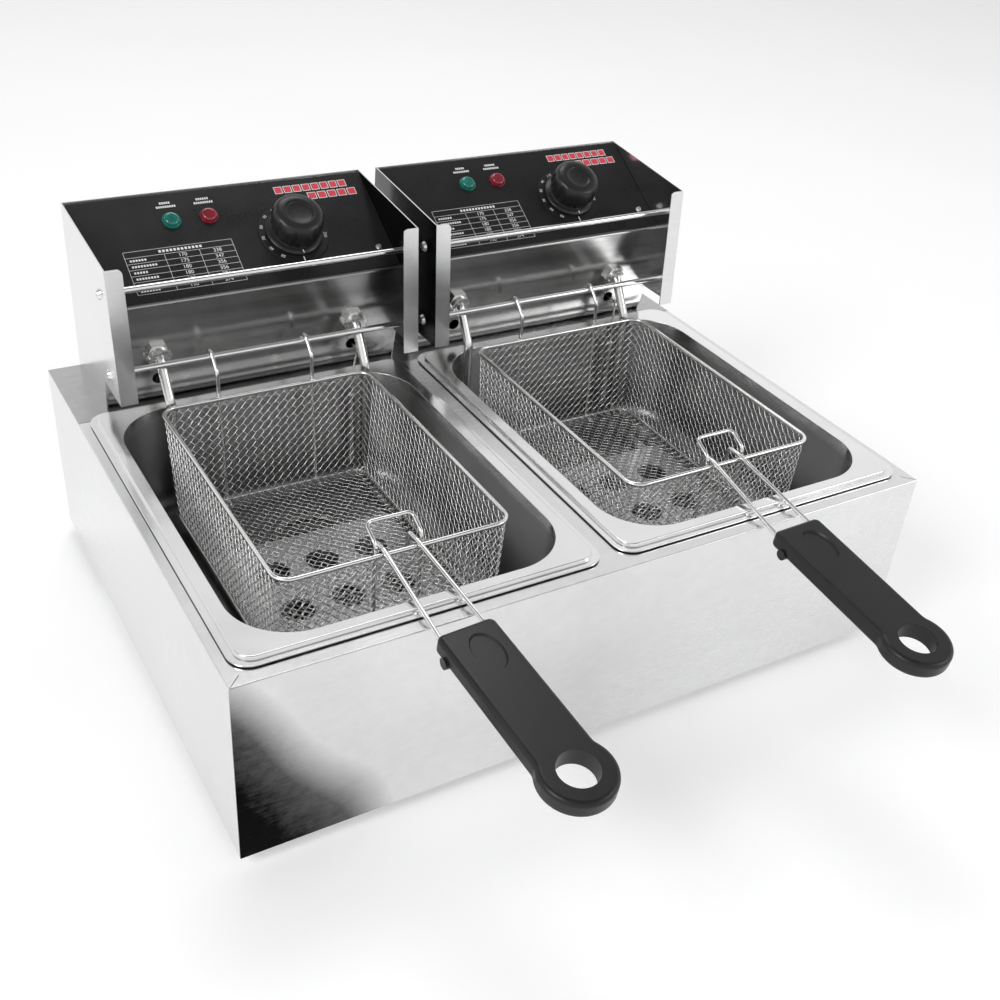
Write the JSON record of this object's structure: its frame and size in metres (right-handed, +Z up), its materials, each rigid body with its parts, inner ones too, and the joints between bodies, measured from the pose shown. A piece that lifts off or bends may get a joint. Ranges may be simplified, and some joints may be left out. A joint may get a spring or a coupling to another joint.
{
  "type": "deep fryer",
  "caption": "Twin-tank countertop deep fryer: stainless cabinet, lift-out pans, lift-off control heads with dial knobs and lamps, and wire baskets with black grips.",
  "frame": {"origin": "middle of the outline seen from above, on the plane the feet stand on", "axes": "+Z up, the front with the handles faces -Y, +X to the right seen from the front"},
  "size_m": [0.56, 0.5981, 0.3035],
  "materials": {
    "cabinet_steel": "fine satin stainless sheet",
    "base_steel": "plain galvanised sheet",
    "foot_rubber": "moulded black rubber",
    "screw_zinc": "bright zinc-plated steel",
    "pan_steel": "pressed stainless, polished rim",
    "head_steel": "satin stainless sheet",
    "panel_black": "satin black printed plate",
    "rod_chrome": "bright plated rod",
    "element_steel": "sheathed heating tube",
    "sensor_steel": "drawn capillary and bulb",
    "guard_steel": "thin punched sheet",
    "ceramic": "pale moulded switch body",
    "shaft_brass": "turned brass",
    "dial_black": "black dial plate with white figures",
    "knob_plastic": "moulded black plastic",
    "lamp_green": "translucent green lens",
    "lamp_red": "translucent red lens",
    "terminal_plastic": "cream moulded block",
    "limiter_plastic": "dark moulded body",
    "button_red": "red push button",
    "gland_plastic": "black nylon",
    "basket_mesh": "plated wire mesh",
    "basket_wire": "plated steel wire",
    "grip_plastic": "matte black heat-resistant plastic"
  },
  "bodies": {
    "cabinet": {"cabinet_shell": "cabinet_steel", "cabinet_base": "base_steel", "feet": "foot_rubber", "base_screws": "screw_zinc"},
    "left_tank_body": {"left_tank": "pan_steel"},
    "left_head": {"left_head_shell": "head_steel", "left_head_front": "head_steel", "left_control_panel": "panel_black", "left_head_base": "head_steel", "left_upper_rod": "rod_chrome", "left_lower_rod": "rod_chrome", "left_rod_screws": "screw_zinc", "left_heating_element": "element_steel", "left_gland_nuts": "screw_zinc", "left_thermostat_sensor": "sensor_steel", "left_element_guard": "guard_steel", "left_thermostat_body": "ceramic", "left_dial_ring": "dial_black", "left_power_lamp": "lamp_green", "left_heating_lamp": "lamp_red", "left_panel_screws": "screw_zinc", "left_terminal_block": "terminal_plastic", "left_safety_limiter": "limiter_plastic", "left_cable_gland": "gland_plastic"},
    "left_control_knob": {"left_knob": "knob_plastic", "left_thermostat_shaft": "shaft_brass"},
    "left_reset": {"left_reset_button": "button_red"},
    "left_basket": {"left_basket_mesh": "basket_mesh", "left_basket_frame": "basket_wire", "left_handle_wires": "basket_wire", "left_handle_grip": "grip_plastic"},
    "right_tank_body": {"right_tank": "pan_steel"},
    "right_head": {"right_head_shell": "head_steel", "right_head_front": "head_steel", "right_control_panel": "panel_black", "right_head_base": "head_steel", "right_upper_rod": "rod_chrome", "right_lower_rod": "rod_chrome", "right_rod_screws": "screw_zinc", "right_heating_element": "element_steel", "right_gland_nuts": "screw_zinc", "right_thermostat_sensor": "sensor_steel", "right_element_guard": "guard_steel", "right_thermostat_body": "ceramic", "right_dial_ring": "dial_black", "right_power_lamp": "lamp_green", "right_heating_lamp": "lamp_red", "right_panel_screws": "screw_zinc", "right_terminal_block": "terminal_plastic", "right_safety_limiter": "limiter_plastic", "right_cable_gland": "gland_plastic"},
    "right_control_knob": {"right_knob": "knob_plastic", "right_thermostat_shaft": "shaft_brass"},
    "right_reset": {"right_reset_button": "button_red"},
    "right_basket": {"right_basket_mesh": "basket_mesh", "right_basket_frame": "basket_wire", "right_handle_wires": "basket_wire", "right_handle_grip": "grip_plastic"}
  },
  "joints": [
    {"name": "left_tank_lift", "type": "slide", "parent": "cabinet", "child": "left_tank_body", "axis": [0, 0, 1], "range_m": [0, 0.18]},
    {"name": "left_head_lift", "type": "slide", "parent": "left_tank_body", "child": "left_head", "axis": [0, 0, 1], "range_m": [0, 0.18]},
    {"name": "left_knob_turn", "type": "hinge", "parent": "left_head", "child": "left_control_knob", "pos_m": [-0.087, 0.22956, 0.2685], "axis": [0, -0.5165, 0.8563], "range_deg": [-300, 0]},
    {"name": "left_reset_press", "type": "slide", "parent": "left_head", "child": "left_reset", "axis": [0, -1, 0], "range_m": [0, 0.002], "stiffness_N_per_m": 400},
    {"name": "left_basket_lift", "type": "slide", "parent": "left_head", "child": "left_basket", "axis": [0, -0.2419, 0.9703], "range_m": [0, 0.3]},
    {"name": "right_tank_lift", "type": "slide", "parent": "cabinet", "child": "right_tank_body", "axis": [0, 0, 1], "range_m": [0, 0.18]},
    {"name": "right_head_lift", "type": "slide", "parent": "right_tank_body", "child": "right_head", "axis": [0, 0, 1], "range_m": [0, 0.18]},
    {"name": "right_knob_turn", "type": "hinge", "parent": "right_head", "child": "right_control_knob", "pos_m": [0.175, 0.22956, 0.2685], "axis": [0, -0.5165, 0.8563], "range_deg": [-300, 0]},
    {"name": "right_reset_press", "type": "slide", "parent": "right_head", "child": "right_reset", "axis": [0, -1, 0], "range_m": [0, 0.002], "stiffness_N_per_m": 400},
    {"name": "right_basket_lift", "type": "slide", "parent": "right_head", "child": "right_basket", "axis": [0, -0.2419, 0.9703], "range_m": [0, 0.3]}
  ]
}
